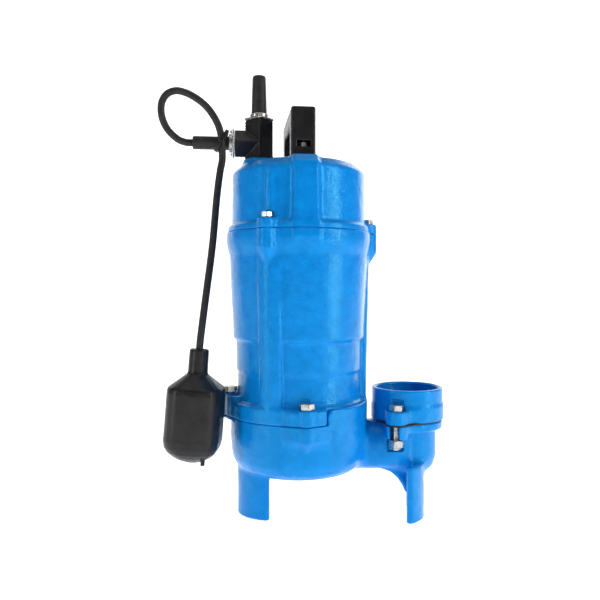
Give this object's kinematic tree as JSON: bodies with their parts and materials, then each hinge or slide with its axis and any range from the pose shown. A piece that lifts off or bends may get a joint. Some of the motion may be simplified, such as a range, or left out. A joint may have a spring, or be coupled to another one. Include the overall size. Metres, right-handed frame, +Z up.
{
  "type": "submersible sump pump",
  "caption": "Blue cast-iron submersible sump pump with a top handle, side discharge collar, three legs and a tethered float switch.",
  "frame": {"origin": "middle of the standing pump's box, without the float and its cord, on the floor it stands on", "axes": "+Z up along the motor shaft, +X towards the discharge, -Y the front"},
  "size_m": [0.3193, 0.17, 0.486],
  "materials": {
    "blue_paint": "glossy enamel over cast iron",
    "zinc_plate": "bright zinc plate",
    "machined_steel": "machined",
    "bare_cast_iron": "as cast",
    "cast_aluminium": "as cast",
    "copper_wire": "enamelled copper wire",
    "black_plastic": "satin moulded",
    "switch_plastic": "moulded",
    "black_rubber": "matt",
    "seal_ceramic": "lapped",
    "seal_carbon": "lapped carbon"
  },
  "bodies": {
    "root": {"motor_cap": "blue_paint", "motor_housing": "blue_paint", "volute_casing": "blue_paint", "discharge_collar": "blue_paint", "discharge_gasket": "black_rubber", "cap_bolt_1": "zinc_plate", "cap_bolt_2": "zinc_plate", "cap_bolt_3": "zinc_plate", "housing_bolt_1": "zinc_plate", "housing_bolt_2": "zinc_plate", "housing_bolt_3": "zinc_plate", "discharge_bolt_1": "zinc_plate", "discharge_nut_1": "zinc_plate", "discharge_bolt_2": "zinc_plate", "discharge_nut_2": "zinc_plate", "carrying_handle": "black_plastic", "handle_bolt_1": "zinc_plate", "handle_bolt_2": "zinc_plate", "cable_tee": "black_plastic", "power_gland_plate": "zinc_plate", "power_gland_ring": "zinc_plate", "power_gland_screw_1": "zinc_plate", "power_gland_screw_2": "zinc_plate", "power_sleeve": "black_rubber", "float_gland_plate": "zinc_plate", "float_gland_ring": "zinc_plate", "float_gland_screw_1": "zinc_plate", "float_gland_screw_2": "zinc_plate", "float_sleeve": "black_rubber", "float_cord_loop": "black_rubber", "cable_tie": "black_plastic", "stator_core": "machined_steel", "stator_winding_upper": "copper_wire", "stator_winding_lower": "copper_wire", "capacitor": "cast_aluminium", "terminal_block": "black_plastic", "upper_bearing_bracket": "bare_cast_iron", "lower_bearing_bracket": "bare_cast_iron", "upper_bearing_outer": "machined_steel", "lower_bearing_outer": "machined_steel", "seal_plate": "bare_cast_iron", "seal_plate_o_ring": "black_rubber", "seal_seat": "seal_ceramic"},
    "rotor": {"upper_bearing_inner": "machined_steel", "lower_bearing_inner": "machined_steel", "shaft": "machined_steel", "rotor_core": "cast_aluminium", "seal_head": "seal_carbon", "seal_spring": "machined_steel", "impeller": "bare_cast_iron", "impeller_washer": "zinc_plate", "impeller_nut": "zinc_plate"},
    "float": {"float_cord_tether": "black_rubber", "float_half_front": "black_plastic", "float_half_rear": "black_plastic", "switch_tube": "switch_plastic"},
    "ball": {"switch_ball": "machined_steel"}
  },
  "joints": [
    {"name": "rotor_spin", "type": "hinge", "parent": "root", "child": "rotor", "pos_m": [-0.02375, 0, 0.1], "axis": [0, 0, 1], "continuous": true},
    {"name": "float_swing", "type": "hinge", "parent": "root", "child": "float", "pos_m": [-0.10835, -0.0125, 0.3916], "axis": [0, 1, 0], "range_deg": [0, 85]},
    {"name": "ball_roll", "type": "slide", "parent": "float", "child": "ball", "axis": [0.0698, 0, 0.9976], "range_m": [0, 0.022]}
  ]
}
